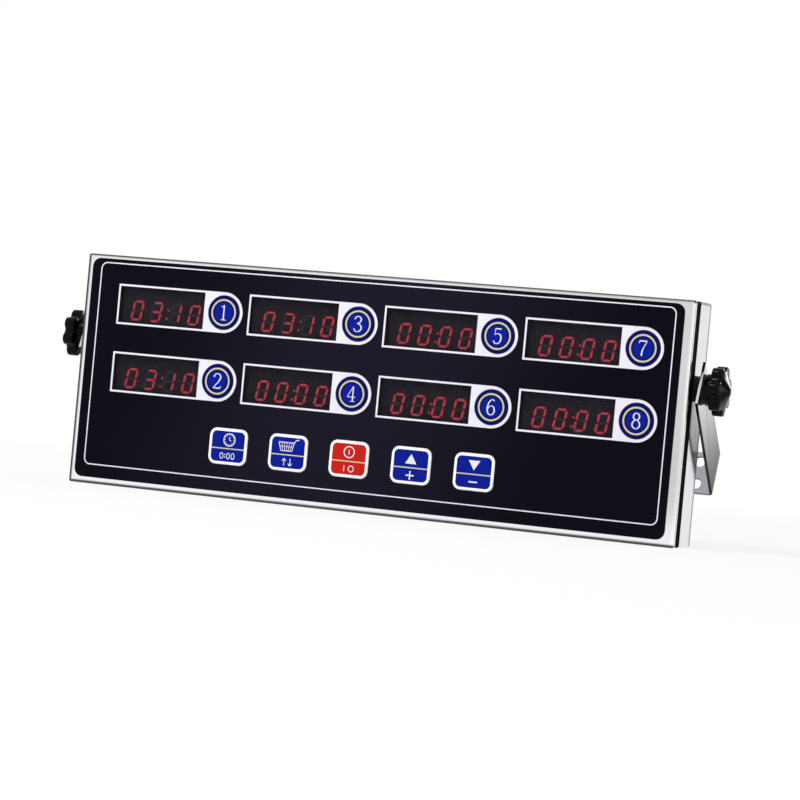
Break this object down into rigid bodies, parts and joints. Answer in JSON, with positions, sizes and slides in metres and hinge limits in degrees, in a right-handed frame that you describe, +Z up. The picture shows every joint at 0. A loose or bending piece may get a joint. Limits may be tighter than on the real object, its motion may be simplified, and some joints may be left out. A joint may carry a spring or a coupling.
{
  "type": "multi-channel kitchen timer",
  "caption": "Slim steel kitchen timer with red segment displays, round channel keys, square function keys and a tilting steel wall bracket held by star knobs.",
  "frame": {"origin": "centre of the case's bottom face, half way through its depth", "axes": "+X to the right seen from the front, the front faces -Y, +Z up"},
  "size_m": [0.369, 0.0605, 0.122],
  "materials": {
    "steel": "satin stainless sheet",
    "bracket_steel": "satin stainless strip",
    "seal": "matt black",
    "film": "printed polyester",
    "lens": "smoked",
    "board": "solder mask",
    "display_body": "matt",
    "lit_red": "lit",
    "unlit_grey": "diffused",
    "chip": "moulded",
    "plated": "zinc plated",
    "capacitor_sleeve": "shrink sleeve",
    "black_plastic": "moulded",
    "lead_red": "insulated wire",
    "knob_black": "moulded, glossy",
    "key_blue": "printed",
    "key_red": "printed",
    "plunger_white": "moulded"
  },
  "bodies": {
    "case": {"front_frame": "steel", "rear_case": "steel", "case_seal": "seal", "graphic_film": "film", "window_lenses": "lens", "display_board": "board", "led_displays": "display_body", "lit_segments": "lit_red", "unlit_segments": "unlit_grey", "key_switches": "chip", "controller_chip": "chip", "driver_chips": "chip", "crystal": "plated", "buzzer": "chip", "capacitor": "capacitor_sleeve", "regulator": "chip", "power_jack": "black_plastic", "jack_nut": "plated", "jack_leads": "lead_red", "board_standoffs": "plated", "board_screws": "plated", "case_pillars": "plated", "case_screws": "plated", "pivot_spacers": "black_plastic", "pivot_nuts": "plated"},
    "bracket": {"bracket": "bracket_steel"},
    "left_washer": {"left_washer": "black_plastic"},
    "left_knob": {"left_knob": "knob_black", "left_stud": "plated"},
    "right_washer": {"right_washer": "black_plastic"},
    "right_knob": {"right_knob": "knob_black", "right_stud": "plated"},
    "channel_key_1": {"channel_key_1": "key_blue", "channel_plunger_1": "plunger_white"},
    "channel_key_2": {"channel_key_2": "key_blue", "channel_plunger_2": "plunger_white"},
    "channel_key_3": {"channel_key_3": "key_blue", "channel_plunger_3": "plunger_white"},
    "channel_key_4": {"channel_key_4": "key_blue", "channel_plunger_4": "plunger_white"},
    "channel_key_5": {"channel_key_5": "key_blue", "channel_plunger_5": "plunger_white"},
    "channel_key_6": {"channel_key_6": "key_blue", "channel_plunger_6": "plunger_white"},
    "channel_key_7": {"channel_key_7": "key_blue", "channel_plunger_7": "plunger_white"},
    "channel_key_8": {"channel_key_8": "key_blue", "channel_plunger_8": "plunger_white"},
    "time_key": {"time_key": "key_blue", "time_plunger": "plunger_white"},
    "basket_key": {"basket_key": "key_blue", "basket_plunger": "plunger_white"},
    "power_key": {"power_key": "key_red", "power_plunger": "plunger_white"},
    "plus_key": {"plus_key": "key_blue", "plus_plunger": "plunger_white"},
    "minus_key": {"minus_key": "key_blue", "minus_plunger": "plunger_white"}
  },
  "joints": [
    {"name": "bracket_tilt", "type": "hinge", "parent": "case", "child": "bracket", "pos_m": [0, 0.002, 0.079], "axis": [1, 0, 0], "range_deg": [-15, 160]},
    {"name": "left_washer_slide", "type": "slide", "parent": "case", "child": "left_washer", "axis": [-1, 0, 0], "range_m": [0, 0.0008]},
    {"name": "left_knob_turn", "type": "hinge", "parent": "left_washer", "child": "left_knob", "pos_m": [-0.178, 0.002, 0.079], "axis": [-1, 0, 0], "range_deg": [0, 361]},
    {"name": "right_washer_slide", "type": "slide", "parent": "case", "child": "right_washer", "axis": [1, 0, 0], "range_m": [0, 0.0008]},
    {"name": "right_knob_turn", "type": "hinge", "parent": "right_washer", "child": "right_knob", "pos_m": [0.178, 0.002, 0.079], "axis": [1, 0, 0], "range_deg": [0, 361]},
    {"name": "channel_key_1_press", "type": "slide", "parent": "case", "child": "channel_key_1", "axis": [0, 1, 0], "range_m": [0, 0.0004], "stiffness_N_per_m": 600},
    {"name": "channel_key_2_press", "type": "slide", "parent": "case", "child": "channel_key_2", "axis": [0, 1, 0], "range_m": [0, 0.0004], "stiffness_N_per_m": 600},
    {"name": "channel_key_3_press", "type": "slide", "parent": "case", "child": "channel_key_3", "axis": [0, 1, 0], "range_m": [0, 0.0004], "stiffness_N_per_m": 600},
    {"name": "channel_key_4_press", "type": "slide", "parent": "case", "child": "channel_key_4", "axis": [0, 1, 0], "range_m": [0, 0.0004], "stiffness_N_per_m": 600},
    {"name": "channel_key_5_press", "type": "slide", "parent": "case", "child": "channel_key_5", "axis": [0, 1, 0], "range_m": [0, 0.0004], "stiffness_N_per_m": 600},
    {"name": "channel_key_6_press", "type": "slide", "parent": "case", "child": "channel_key_6", "axis": [0, 1, 0], "range_m": [0, 0.0004], "stiffness_N_per_m": 600},
    {"name": "channel_key_7_press", "type": "slide", "parent": "case", "child": "channel_key_7", "axis": [0, 1, 0], "range_m": [0, 0.0004], "stiffness_N_per_m": 600},
    {"name": "channel_key_8_press", "type": "slide", "parent": "case", "child": "channel_key_8", "axis": [0, 1, 0], "range_m": [0, 0.0004], "stiffness_N_per_m": 600},
    {"name": "time_key_press", "type": "slide", "parent": "case", "child": "time_key", "axis": [0, 1, 0], "range_m": [0, 0.0004], "stiffness_N_per_m": 600},
    {"name": "basket_key_press", "type": "slide", "parent": "case", "child": "basket_key", "axis": [0, 1, 0], "range_m": [0, 0.0004], "stiffness_N_per_m": 600},
    {"name": "power_key_press", "type": "slide", "parent": "case", "child": "power_key", "axis": [0, 1, 0], "range_m": [0, 0.0004], "stiffness_N_per_m": 600},
    {"name": "plus_key_press", "type": "slide", "parent": "case", "child": "plus_key", "axis": [0, 1, 0], "range_m": [0, 0.0004], "stiffness_N_per_m": 600},
    {"name": "minus_key_press", "type": "slide", "parent": "case", "child": "minus_key", "axis": [0, 1, 0], "range_m": [0, 0.0004], "stiffness_N_per_m": 600}
  ],
  "couplings": [
    {"joint": "left_knob_turn", "follows": "left_washer_slide", "rad_per_m": 7854},
    {"joint": "right_knob_turn", "follows": "right_washer_slide", "rad_per_m": 7854}
  ]
}
